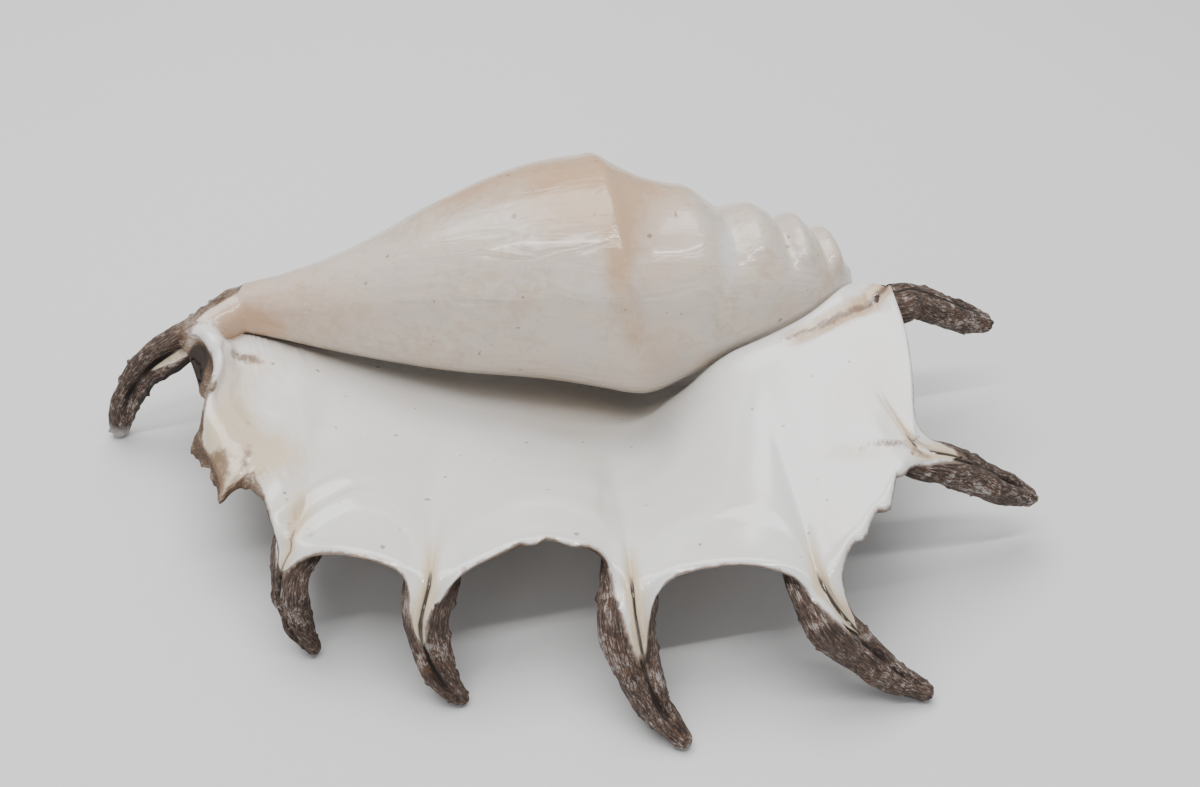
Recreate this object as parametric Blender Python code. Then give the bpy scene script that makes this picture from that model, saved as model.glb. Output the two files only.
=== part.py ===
"""Giant spider conch shell, lying on its back with the glazed mouth side up, as one grown piece.

Metres, +Z up. +X runs along the shell's axis from the siphon spout to the spire, and -Y is the side
of the flared lip. The shell stands on the worn knob of its back and on the tips of its spines.
The shape is a loft of comma-shaped sections: lip, mouth, body whorl and back in one closed outline.
"""

import bmesh
import bpy
import numpy as np
from mathutils import Matrix

MM = 0.001

# Body whorl and spire: station x, radius, and the axis point (y, z), in mm
BODY_X = (-118, -103, -84, -53, -33, -20, -3, 9, 20, 31, 36, 45, 54, 58, 65, 69, 74, 79, 82)
BODY_RADIUS = (6, 11, 17, 28, 33.8, 36.4, 38.2, 35.3, 33.3, 30, 27.5, 26.4, 23.3, 21.4, 20, 17, 14.5, 10, 5)
AXIS_X = (-118, -84, -53, -20, 0, 20, 45, 66, 82)
AXIS_Y = (31, 28, 32, 37, 36.2, 33, 30.6, 31.8, 29.5)
AXIS_Z = (41, 45.5, 49.5, 52, 51.6, 51, 50.4, 51, 52)

# The shoulder of the last whorl is a spiral: it moves towards the spout by this much per degree round
# the axis, near the shoulder station and over this length along the shell, in mm
SHOULDER_TURN = 0.1
SHOULDER_FROM = 132
SHOULDER_END = 180
SHOULDER_X = 10
SHOULDER_LENGTH = 28

# Mouth: angle of the valley under the body, its depth round the axis and its width, by station x
MOUTH_X = (-118, -103, -84, -53, 0, 14, 24, 34, 45, 55, 66, 76, 82)
VALLEY_ANGLE = (-30, -45, -54, -56, -56, -54, -42, -20, -8, 0, 8, 28, 45)
MOUTH_DEPTH = (20, 40, 66, 80, 84, 76, 50, 24, 14, 12, 12, 12, 10)
MOUTH_GAP = (0.06, 0.14, 0.22, 0.25, 0.25, 0.22, 0.14, 0.07, 0.05, 0.04, 0.04, 0.05, 0.05)

# Lip margin from the spout round to the spire: the body station that each point belongs to, and x, y, z
MARGIN = (
    (-118, -132, 5, 46),
    (-115.5, -123, -13, 41),
    (-110, -125, -30, 36),
    (-105, -113, -47, 33),
    (-101, -103, -50, 36),
    (-95, -97, -63, 38),
    (-87, -89, -75, 37),
    (-74, -73, -80, 40),
    (-60, -58, -84, 39),
    (-50, -48, -89, 37),
    (-38, -35, -85, 41),
    (-22, -18, -79, 43),
    (-6, -1, -81, 41),
    (4, 9, -91, 38),
    (15, 22, -88, 41),
    (30, 40, -86, 42),
    (43, 55, -88, 41),
    (49, 62, -91, 38),
    (55, 70, -80, 42),
    (61, 80, -67, 44),
    (66, 88, -55, 46),
    (70, 94, -44, 47),
    (74, 95, -30, 51),
    (77, 96, -12, 55),
    (80, 95, 3, 59),
    (82, 93, 16, 62),
)

# Wall of the lip near the body, half the thickness of its rim, and the reach below which both thin
WALL = 6.0
RIM_HALF = 1.8
FULL_REACH = 40.0

# How much the last whorl grows from the top of the body round the back to the underside, how the
# growth fades towards the spire, and the share of it that is reached at angles round the axis
BACK_GROWTH = 0.34
GROWTH_X = 12
GROWTH_LENGTH = 32
BACK_SHARES = {132: 0.0, 154: 0.1, 178: 0.25, 202: 0.45, 226: 0.68, 248: 0.88, 270: 1.0}

# The lip's front end is rolled: its crest stands this much above the margin, by margin point, at this
# share of the way to the margin and over this width
ROLL_SPAN = (0, 1, 2, 3, 4, 5, 6)
ROLL_HEIGHT = (5.0, 6.0, 5.0, 3.5, 2.0, 1.0, 0.0)
ROLL_AT = 0.86
ROLL_WIDTH = 0.16

# How far the sections of the lip's front end bow towards the spire, by margin point
BOW_SPAN = (0, 1, 2, 3, 4, 5, 6, 7)
BOW = (0.0, 2.0, 6.0, 7.0, 6.0, 4.0, 2.0, 0.0)

# Blunt knobs of the back: station x, angle round the axis, height and reach, in mm and degrees
KNOBS = (
    (2, 266, 2.6, 15),
    (11, 226, 6.5, 13),
    (19, 190, 5.0, 10),
    (27, 156, 2.0, 7),
    (40, 222, 2.5, 7),
    (52, 205, 2.0, 6),
)

# Long hollow spines of the lip: the margin point that each grows from, the side that its open seam faces,
# and its course outside the lip, as x, y, z, half width and half depth in mm
SPINES = {
    "spine_1": (6, (-0.3, -0.7, 0.65), (
        (-90, -78.5, 28, 6.2, 5.2), (-90, -80, 19, 5.4, 5), (-88.5, -82, 10, 4.8, 4.6),
        (-84, -84.5, 1.8, 3, 3))),
    "spine_2": (9, (0.0, -0.75, 0.65), (
        (-49.5, -92, 28, 6.6, 5.6), (-48.5, -95, 18.5, 6, 5.6), (-45.5, -98.5, 9.5, 5.2, 5),
        (-39, -102.5, 1.8, 3, 3))),
    "spine_3": (13, (0.1, -0.75, 0.65), (
        (7.5, -95, 28.5, 8.4, 6.4), (10.5, -101.5, 17.5, 6.8, 6.4), (15, -108.5, 8.5, 5.8, 5.6),
        (23.5, -117, 2.8, 3.2, 3.2))),
    "spine_4": (17, (0.45, -0.5, 0.75), (
        (64, -93, 28.5, 8.4, 6.4), (73.5, -95.5, 17.5, 6.4, 6), (84, -97.5, 8.5, 5.6, 5.4),
        (95, -99.5, 2.8, 3.2, 3.2))),
    "spine_5": (21, (0.0, -0.2, 1.0), (
        (103, -41.5, 39, 6.6, 5.8), (115, -38, 31, 6, 5.8), (127, -34.5, 22.5, 5.2, 5),
        (136.5, -31, 16, 3.2, 3.2))),
    "spine_6": (25, (0.0, -0.2, 1.0), (
        (101, 22, 51, 6, 5.2), (111.5, 25, 45, 5.6, 5.2), (121.5, 28.5, 39, 5, 4.8),
        (129.5, 31, 34, 3.6, 3.4))),
}

# The root of a spine lies in the lip's wall and swells out of its underside towards the margin:
# share of the way to the margin, how far below the wall's middle, half width and half depth in mm
SPINE_ROOT = ((0.27, 0.3, 3, 1.2), (0.44, 1.5, 5, 2.6), (0.62, 2.2, 6.5, 3.6), (0.8, 2.8, 8, 4.4),
              (0.93, 3.2, 8.5, 5.0))

# Siphon spout in front of the body, an open trough that bends down to the ground, as the spines above
SPOUT_SEAM = (0.25, -0.85, 0.45)
SPOUT = (
    (-98, 33, 42, 7, 7),
    (-112, 31, 41.5, 7, 7),
    (-123.5, 24, 41.5, 6.4, 6.6),
    (-131, 18, 40, 6.2, 6.2),
    (-139, 13.5, 37.5, 6.2, 6.2),
    (-148, 11.5, 31.5, 6, 6),
    (-155, 11, 23, 5.2, 5),
    (-160, 11.5, 13, 4.3, 4.2),
    (-163.5, 12, 1.2, 3.2, 3.2),
)

# Turns round a spine's section, from the seam: closely set at the seam, which is a narrow slit
SEAM_ANGLES = (0, 8, 20, 48, 80, 114, 148)
SEAM_REACH = 13
SPINE_STATIONS = 14
SLIT_DEPTH = 0.55
SPOUT_DEPTH = 0.95

# Height of the ground, in mm: it wears a flat on the knob of the back and on the tips that touch it
GROUND = 0.6
SLAB_SIDE = 600
SLAB_DEPTH = 100

# Corners of a section: along the lip from the margin, and up the body's front to this angle
LIP_SHARES = (0.93, 0.8, 0.62, 0.44, 0.27, 0.12)
FRONT_SHARES = (0, 0.25, 0.5, 0.75, 1)
FRONT_END = 110.0
STATIONS_PER_SPAN = 2

# Samples between the corners of a section: rim, lip, mouth, body, back, underside
SAMPLES = [1] * 8 + [2] * 6 + [2] * 12 + [1] * 9


def through(knots, values, at):
    """A smooth curve through (knot, value) pairs, read at the parameters `at`."""
    knots = np.asarray(knots, float)
    values = np.asarray(values, float)
    slopes = np.gradient(values, knots, axis=0)
    i = np.clip(np.searchsorted(knots, at, side="right") - 1, 0, len(knots) - 2)
    span = knots[i + 1] - knots[i]
    f = (at - knots[i]) / span
    if values.ndim > 1:
        f, span = f[:, None], span[:, None]
    f2, f3 = f * f, f * f * f
    return (
        (2 * f3 - 3 * f2 + 1) * values[i]
        + (f3 - 2 * f2 + f) * span * slopes[i]
        + (3 * f2 - 2 * f3) * values[i + 1]
        + (f3 - f2) * span * slopes[i + 1]
    )


def round_the_axis(axis, angle, radius):
    """The point at an angle round the body's axis: 0 faces the lip, 90 is up, 180 is the back."""
    turn = np.radians(angle)
    return np.stack([axis["x"], axis["y"] - radius * np.cos(turn), axis["z"] + radius * np.sin(turn)], axis=-1)


def section_corners(u):
    """Corners of the closed section at each margin parameter u: an array of stations x corners x 3.

    They run from the margin along the lip's glazed side into the mouth, back along the mouth's roof,
    up the front of the body, over its top, down its back and along the lip's underside.
    """
    margin = np.array(MARGIN, float)
    x = through(np.arange(len(margin)), margin[:, 0], u)
    edge = through(np.arange(len(margin)), margin[:, 1:], u)
    roll = through(ROLL_SPAN, ROLL_HEIGHT, np.minimum(u, ROLL_SPAN[-1]))
    bow = through(BOW_SPAN, BOW, np.minimum(u, BOW_SPAN[-1]))
    axis = {"x": x, "y": through(AXIS_X, AXIS_Y, x), "z": through(AXIS_X, AXIS_Z, x)}
    valley_angle = through(MOUTH_X, VALLEY_ANGLE, x)
    depth = through(MOUTH_X, MOUTH_DEPTH, x)
    shoulder = SHOULDER_TURN * np.exp(-(((x - SHOULDER_X) / SHOULDER_LENGTH) ** 2))

    def girth(angle):
        """Radius of the body at an angle round the axis."""
        turn = np.minimum(angle, SHOULDER_END) - SHOULDER_FROM
        return through(BODY_X, BODY_RADIUS, x + shoulder * turn)

    radius = girth(valley_angle)
    gap = through(MOUTH_X, MOUTH_GAP, x) * radius

    def floor(share):
        """The mouth's floor, from the valley (0) to its inner end (1)."""
        return round_the_axis(axis, valley_angle - share * depth, radius + gap * (1 - 0.75 * share))

    def roof(share):
        """The mouth's roof, which is the body's own wall going in."""
        return round_the_axis(axis, valley_angle - share * depth, radius * (1 - 0.06 * share) - 0.4 * share)

    valley = floor(0.0)
    run = edge - valley
    reach = np.linalg.norm(run[:, :2], axis=1, keepdims=True)
    across = np.concatenate([run[:, :2] / reach, 0 * reach], axis=1)
    up = np.array([0.0, 0.0, 1.0])
    size = np.clip(reach / FULL_REACH, 0.15, 1)
    wall = np.minimum(WALL * size, radius[:, None] / 3)
    rim = RIM_HALF * size

    def lip(share):
        """The lip's glazed side, from the valley (0) to the margin (1)."""
        eased = share * share * (3 - 2 * share)
        crest = np.exp(-(((share - ROLL_AT) / ROLL_WIDTH) ** 2))
        point = valley + run * share
        point[:, 0] += bow * np.sin(np.pi * share)
        point[:, 2] = valley[:, 2] + run[:, 2] * (0.25 * share + 0.75 * eased) + roll * crest
        return point

    def under_lip(share):
        """The lip's underside, one wall's thickness square to the glazed side."""
        along = lip(min(share + 0.03, 1.0)) - lip(max(share - 0.03, 0.0))
        slope = along[:, 2:] / np.linalg.norm(along, axis=1, keepdims=True)
        down = across * slope - up * np.sqrt(np.maximum(1 - slope**2, 0.1))
        return lip(share) + down * (wall + (2 * rim - wall) * share**1.5)

    edge = edge - up * roll[:, None] * 0.6
    corners = [edge, edge - across * rim * 1.1 + up * rim * 0.9]
    corners += [lip(share) + up * rim * 0.9 * share for share in LIP_SHARES]
    corners += [valley, floor(0.35), floor(0.7)]
    corners.append(round_the_axis(axis, valley_angle - depth, radius * 0.93 + gap * 0.1))
    corners += [roof(0.7), roof(0.35)]
    for share in FRONT_SHARES:
        angle = valley_angle + 3 + (FRONT_END - valley_angle - 3) * share
        corners.append(round_the_axis(axis, angle, girth(angle)))

    growth = BACK_GROWTH * np.exp(-((np.maximum(x - GROWTH_X, 0) / GROWTH_LENGTH) ** 2))
    hollow = np.clip((depth - 12) / 50, 0, 1)
    for angle, share in BACK_SHARES.items():
        out = girth(angle) * (1 + growth * share)
        if angle > 220:
            over_mouth = radius + gap * (0.35 + 0.5 * (share > 0.7)) + wall[:, 0] * 0.85
            out = np.maximum(out, hollow * over_mouth)
        for knob_x, knob_angle, height, knob_reach in KNOBS:
            away = (out * np.radians(angle - knob_angle)) ** 2 + (x - knob_x) ** 2
            out = out + height * np.exp(-away / knob_reach**2)
        corners.append(round_the_axis(axis, np.full_like(x, angle), out))
    under_valley = radius + 1 + hollow * (gap * 0.88 + wall[:, 0] * 1.05 - 1)
    corners.append(round_the_axis(axis, valley_angle - 27 + 12 * hollow, under_valley))
    corners += [under_lip(share) for share in (0.0,) + LIP_SHARES[::-1]]
    corners.append(edge - across * rim * 1.1 - up * rim * 0.9)
    return np.stack(corners, axis=1)


def closed_curves(corners, counts):
    """Smooth closed curves through each row of corners, with counts[j] samples on the span after corner j."""
    after = np.roll(corners, -1, axis=1)
    chord = np.linalg.norm(after - corners, axis=2, keepdims=True) + 1e-6
    before_chord = np.roll(chord, 1, axis=1)
    step = (after - corners) / chord
    slope = (step * before_chord + np.roll(step, 1, axis=1) * chord) / (chord + before_chord)
    rows = []
    for j, count in enumerate(counts):
        k = (j + 1) % len(counts)
        f = (np.arange(count) / count)[None, :, None]
        f2, f3 = f * f, f * f * f
        rows.append(
            (2 * f3 - 3 * f2 + 1) * corners[:, j, None]
            + (f3 - 2 * f2 + f) * chord[:, j, None] * slope[:, j, None]
            + (3 * f2 - 2 * f3) * corners[:, k, None]
            + (f3 - f2) * chord[:, j, None] * slope[:, k, None]
        )
    return np.concatenate(rows, axis=1)


def loft(name, rings):
    """A closed mesh through rings of equal count (rings x points x 3, in mm), capped at both ends."""
    count, around = rings.shape[:2]
    mesh = bmesh.new()
    verts = [mesh.verts.new(p) for p in rings.reshape(-1, 3) * MM]
    for i in range(count - 1):
        for k in range(around):
            n = (k + 1) % around
            mesh.faces.new([verts[i * around + k], verts[(i + 1) * around + k],
                            verts[(i + 1) * around + n], verts[i * around + n]])
    mesh.faces.new(verts[:around])
    mesh.faces.new(verts[: -around - 1 : -1])
    bmesh.ops.recalc_face_normals(mesh, faces=mesh.faces)
    data = bpy.data.meshes.new(name)
    mesh.to_mesh(data)
    mesh.free()
    thing = bpy.data.objects.new(name, data)
    bpy.context.scene.collection.objects.link(thing)
    return thing


def spine_root(section):
    """Course of a spine inside the lip, along the middle of the wall of one section's corners."""
    course = []
    for share, below, half_width, half_depth in SPINE_ROOT:
        k = LIP_SHARES.index(share)
        middle = (section[2 + k] + section[-2 - k]) / 2
        course.append((middle[0], middle[1], middle[2] - below, half_width, half_depth))
    return course


def tube(name, seam_side, course, slit):
    """A spine: sections of two ridges beside an open slit, carried along the course and closed at the tip."""
    course = np.array(course, float)
    turns = np.array(SEAM_ANGLES + (180,) + tuple(360 - a for a in SEAM_ANGLES[:0:-1]), float)
    turns = np.radians(turns)
    length = np.concatenate([[0], np.cumsum(np.linalg.norm(np.diff(course[:, :3], axis=0), axis=1))])
    at = length[-1] * np.linspace(0, 1, SPINE_STATIONS)
    run = through(length, course, at)
    middle, half_width, half_depth = run[:, :3], run[:, 3], run[:, 4]
    ahead = np.gradient(middle, at, axis=0)
    ahead /= np.linalg.norm(ahead, axis=1, keepdims=True)
    seam = np.array(seam_side, float) - (ahead @ np.array(seam_side, float))[:, None] * ahead
    seam /= np.linalg.norm(seam, axis=1, keepdims=True)
    side = np.cross(ahead, seam)
    share = at / at[-1]
    open_seam = slit * np.clip((1 - share) * 3, 0, 1) * np.clip((share - 0.05) * 6, 0, 1)
    notch = np.exp(-((np.minimum(turns, 2 * np.pi - turns) / np.radians(SEAM_REACH)) ** 2))
    sideways = half_width[:, None] * np.sin(turns)
    outward = half_depth[:, None] * (np.cos(turns) - open_seam[:, None] * notch)
    rings = middle[:, None] + sideways[..., None] * side[:, None] + outward[..., None] * seam[:, None]
    return loft(name, rings)


def combine(target, other, operation):
    """Apply one Boolean to the target and remove the other object."""
    modifier = target.modifiers.new(operation, "BOOLEAN")
    modifier.operation = operation
    modifier.solver = "EXACT"
    modifier.object = other
    bpy.context.view_layer.update()
    evaluated = target.evaluated_get(bpy.context.evaluated_depsgraph_get())
    mesh = bpy.data.meshes.new_from_object(evaluated)
    target.modifiers.clear()
    target.data = mesh
    bpy.data.objects.remove(other)


def centre_on_ground(thing):
    """Move the mesh so that the middle of its box is over the origin and its lowest faces are at zero."""
    places = np.array([v.co for v in thing.data.vertices])
    low, high = places.min(axis=0), places.max(axis=0)
    shift = -(low + high) / 2
    shift[2] = -low[2]
    thing.data.transform(Matrix.Translation(shift))


def glazed_shell():
    """Cream white, porcelain-smooth shell."""
    material = bpy.data.materials.new("glazed shell")
    material.use_nodes = True
    surface = material.node_tree.nodes["Principled BSDF"]
    surface.inputs["Base Color"].default_value = (0.8, 0.74, 0.67, 1)
    surface.inputs["Roughness"].default_value = 0.25
    surface.inputs["Metallic"].default_value = 0.0
    return material


def main():
    for old in list(bpy.data.objects):
        bpy.data.objects.remove(old)
    u = np.linspace(0, len(MARGIN) - 1, (len(MARGIN) - 1) * STATIONS_PER_SPAN + 1)
    corners = section_corners(u)
    shell = loft("shell", closed_curves(corners, SAMPLES))
    for name, (margin_point, seam_side, course) in SPINES.items():
        root = spine_root(corners[margin_point * STATIONS_PER_SPAN])
        combine(shell, tube(name, seam_side, root + list(course), SLIT_DEPTH), "UNION")
    combine(shell, tube("spout", SPOUT_SEAM, SPOUT, SPOUT_DEPTH), "UNION")

    bpy.ops.mesh.primitive_cube_add(size=1, location=(0, 0, (GROUND - SLAB_DEPTH / 2) * MM))
    slab = bpy.context.object
    slab.scale = (SLAB_SIDE * MM, SLAB_SIDE * MM, SLAB_DEPTH * MM)
    combine(shell, slab, "DIFFERENCE")
    centre_on_ground(shell)

    shell.data.shade_smooth()
    shell.data.materials.clear()
    shell.data.materials.append(glazed_shell())
    collection = bpy.data.collections.new("spider conch shell")
    bpy.context.scene.collection.children.link(collection)
    for holder in list(shell.users_collection):
        holder.objects.unlink(shell)
    collection.objects.link(shell)


main()
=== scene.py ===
"""Looks of a giant spider conch shell that lies on its back, glazed mouth side up.

Metres, +Z up, +X from the siphon spout to the spire, -Y towards the flared lip. Sizes below are
in mm in the shell's design frame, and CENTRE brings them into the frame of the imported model.
"""

import bmesh
import bpy
import numpy as np
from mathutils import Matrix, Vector


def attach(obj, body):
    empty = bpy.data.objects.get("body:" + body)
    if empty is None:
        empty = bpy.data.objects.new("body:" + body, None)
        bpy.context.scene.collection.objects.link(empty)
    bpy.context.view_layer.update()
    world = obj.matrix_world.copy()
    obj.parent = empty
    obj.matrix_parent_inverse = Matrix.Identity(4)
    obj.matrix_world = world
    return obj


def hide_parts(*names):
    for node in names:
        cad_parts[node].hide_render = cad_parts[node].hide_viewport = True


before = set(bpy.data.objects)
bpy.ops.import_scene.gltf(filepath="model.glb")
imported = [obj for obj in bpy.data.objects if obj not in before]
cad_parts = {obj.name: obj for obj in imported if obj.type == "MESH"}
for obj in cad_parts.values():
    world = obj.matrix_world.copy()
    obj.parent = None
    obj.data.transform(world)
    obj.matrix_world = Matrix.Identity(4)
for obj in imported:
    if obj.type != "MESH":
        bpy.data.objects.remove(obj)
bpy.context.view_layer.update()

MM = 0.001
CENTRE = np.array([14.0, 20.4, -0.6])


# Lip, mouth and body: one wall grown in a spiral. Its section is comma-shaped: from the margin down
# the glazed side of the lip into the mouth, back along the mouth's roof, over the body whorl and
# along the rough back to the margin. The sections follow each other from the spout to the spire.

# Radius of the body round its axis along x, and the axis itself.
BODY_X = (
    -118, -103, -84, -53, -33, -20, -8, -3, 3, 10, 20, 31,
    38, 46, 52, 57, 62, 68.5, 72, 75, 78, 80.5, 82,
)
BODY_RADIUS = (
    8.2, 11.6, 17, 28, 33.6, 36.2, 38.0, 38.4, 36.3, 33.4, 31.7, 28.8,
    26.4, 25.4, 24.2, 22.4, 20.8, 18.4, 16.8, 14.6, 11, 6.5, 4,
)
BODY_EASE = 2.5
AXIS_X = (-118, -84, -53, -20, 0, 20, 45, 66, 82)
AXIS_Y = (29.6, 28, 32, 37, 36.2, 33, 30.6, 31.8, 29.5)
AXIS_Z = (41.6, 45.5, 49.5, 52, 51.6, 51, 50.4, 51, 52)
AXIS_EASE = 12

# The shoulder turns forward with the whorl, and the side over the mouth is fuller and softer.
SHOULDER_TURN = 0.1
SHOULDER_FROM = 132
SHOULDER_END = 180
SHOULDER_X = 10
SHOULDER_LENGTH = 28
LOW_SIDE = (-10, 80)
LOW_EASE = 10
LOW_SWELL = 1.3
LOW_SWELL_LENGTH = 30

# The mouth goes in under the body from the valley, by an angle, between a floor and a roof that close.
MOUTH_X = (-118, -103, -84, -53, 0, 14, 24, 34, 45, 55, 66, 76, 82)
VALLEY_ANGLE = (-30, -45, -54, -56, -56, -54, -42, -20, -8, 0, 8, 28, 45)
MOUTH_DEPTH = (20, 40, 66, 80, 84, 76, 50, 24, 14, 12, 12, 12, 10)
MOUTH_GAP = (0.02, 0.11, 0.22, 0.25, 0.25, 0.22, 0.14, 0.07, 0.05, 0.04, 0.04, 0.05, 0.05)
MOUTH_EASE = 6
GAP_CLOSES = 0.75
ROOF_CLOSES = 0.06
ROOF_DROP = 0.4
MOUTH_END = 0.93
MOUTH_SHALLOW = 12
MOUTH_DEEP = 50

# The margin's points from the spout to the spire: x of the section, then x, y and z of its edge.
MARGIN = (
    (-118, -137, 13, 42), (-115.5, -124, -14, 39), (-110, -125.5, -31, 37), (-105, -113, -50, 36),
    (-101, -104.5, -49.5, 37), (-95, -97, -63, 38), (-87, -89, -75, 37), (-74, -73, -80, 40),
    (-60, -58, -84, 39), (-50, -48, -89, 37), (-38, -35, -85, 41), (-22, -18, -79, 43),
    (-6, -1, -81, 41), (4, 9, -91, 38), (15, 22, -88, 41), (30, 40, -86, 42),
    (43, 55, -88, 41), (49, 62, -91, 38), (55, 70.5, -81.5, 42), (61, 81.5, -67.5, 44),
    (66, 89.5, -54, 46), (70, 94, -44, 47), (74, 95, -30, 51), (77, 96, -12, 55),
    (80, 95, 3, 59), (82, 93, 16, 62),
)
WALL = 6.0
RIM_HALF = 1.4
RIM_OUT = 1.1
RIM_UP = 0.9
FULL_REACH = 40.0
SMALLEST_WALL = 0.15
LIP_STRAIGHT = 0.25
UNDER_STEP = 0.03

# The back swells outwards past the keel, as far as its share at each angle says.
BACK_GROWTH = 0.34
GROWTH_X = 12
GROWTH_LENGTH = 32
BACK_TAPER = (-120, -92)
BACK_SHARES = {132: 0.0, 154: 0.1, 178: 0.25, 202: 0.45, 226: 0.68, 248: 0.88, 270: 1.0}
UNDER_BODY = 220

# The roll of the front scroll along the margin, and the bow of the sections beside it.
ROLL_SPAN = (0, 0.5, 1, 2, 3, 4, 5, 6)
ROLL_HEIGHT = (5.0, 6.5, 8.0, 7.5, 3.0, 2.0, 1.0, 0.0)
ROLL_AT = (0.70, 0.52, 0.70, 0.77, 0.82, 0.82, 0.82, 0.82)
ROLL_WIDTH = (0.22, 0.17, 0.14, 0.12, 0.12, 0.12, 0.12, 0.12)
ROLL_FOOT = (0.1, 0.3, 0.3, 0.45, 0.6, 0.6, 0.6, 0.6)
BOW_SPAN = (0, 1, 2, 3, 4, 5, 6, 7)
BOW = (0.0, 2.0, 6.0, 7.0, 6.0, 4.0, 2.0, 0.0)

# Knobs of the back: x, angle, height and reach.
KNOBS = (
    (2, 266, 2.6, 15),
    (11, 226, 6.5, 13),
    (19, 190, 5.0, 10),
    (27, 156, 2.0, 7),
    (40, 222, 2.5, 7),
    (52, 205, 2.0, 6),
)

# Where the corners of a section lie, and how finely the wall is sampled between them and along the margin.
LIP_SHARES = (0.93, 0.8, 0.62, 0.44, 0.27, 0.12)
FRONT_SHARES = (0, 0.25, 0.5, 0.75, 1)
FRONT_START = 3
FRONT_END = 110.0
SPINE_POINTS = (6, 9, 13, 17, 21, 25)
STATIONS = 268
SCROLL_FINER = (1.6, 3.4)
SPINE_FINER = ((2.2, 0.24), (5, 0.05))
TOP_SAMPLES = (2, 5, 7, 9, 8, 8, 7, 6, 5, 5, 3, 3, 4, 4, 13, 13, 13, 13, 8)
BACK_SAMPLES = (7, 6, 6, 6, 6, 6, 6, 6, 6, 6, 6, 7, 9, 6, 5, 2)
VALLEY_CORNER = 8
BACK_CORNER = 22


def through(knots, values, at):
    """Cubic curve through the (knot, value) pairs: each span blends its ends' values and slopes."""
    knots, values = np.asarray(knots, float), np.asarray(values, float)
    slopes = np.gradient(values, knots, axis=0)
    i = np.clip(np.searchsorted(knots, at, side="right") - 1, 0, len(knots) - 2)
    span = knots[i + 1] - knots[i]
    f = (at - knots[i]) / span
    if values.ndim > 1:
        f, span = f[:, None], span[:, None]
    f2, f3 = f * f, f * f * f
    start = (2 * f3 - 3 * f2 + 1) * values[i] + (f3 - 2 * f2 + f) * span * slopes[i]
    return start + (3 * f2 - 2 * f3) * values[i + 1] + (f3 - f2) * span * slopes[i + 1]


def eased(knots, values, at, width):
    """The same curve averaged over a stretch of the given width, so that a highlight has no kink."""
    low, high = knots[0], knots[-1]
    total = 0.0
    for offset, weight in ((-1, 1), (-0.5, 4), (0, 6), (0.5, 4), (1, 1)):
        total = total + weight * through(knots, values, np.clip(at + offset * width, low, high))
    return total / 16


def ramp(low, high, values):
    """Eased step from 0 at low to 1 at high."""
    f = np.clip((values - low) / (high - low), 0, 1)
    return f * f * (3 - 2 * f)


def bell(values, half, middle=0.0):
    """Bell of height 1 at its middle: e to the power of minus the squared distance over the half width."""
    return np.exp(-(((values - middle) / half) ** 2))


def lattice_noise(seed, *places):
    """Smooth noise from 0 to 1: random values at whole-number points, blended between them."""
    cells = [np.floor(p).astype(np.int64) for p in places]
    parts = [p - c for p, c in zip(places, cells)]
    parts = [f * f * (3 - 2 * f) for f in parts]
    total = 0.0
    for corner in range(2 ** len(places)):
        mixed = np.full(np.broadcast(*places).shape, seed * 7919 + 12345, dtype=np.int64)
        weight = 1.0
        for k, (cell, part) in enumerate(zip(cells, parts)):
            step = (corner >> k) & 1
            mixed = (mixed ^ ((cell + step) * (73856093, 19349663, 83492791)[k])) * 1274126177 % 4294967296
            weight = weight * (part if step else 1 - part)
        mixed = (mixed ^ (mixed >> 13)) * 1274126177 % 4294967296
        total = total + weight * (mixed >> 8 & 65535) / 65535
    return total


def lumps(seed, places, size):
    """Lattice noise in space, whose lumps have the given size in mm."""
    return lattice_noise(seed, *(places[..., k] / size for k in range(3)))


def around_axis(axis, angle, radius):
    """The point at an angle round the body's axis: 0 faces the lip, 90 is up, 180 is the back."""
    turn = np.radians(angle)
    aside = axis["y"] - radius * np.cos(turn)
    return np.stack([axis["x"], aside, axis["z"] + radius * np.sin(turn)], axis=-1)


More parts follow.
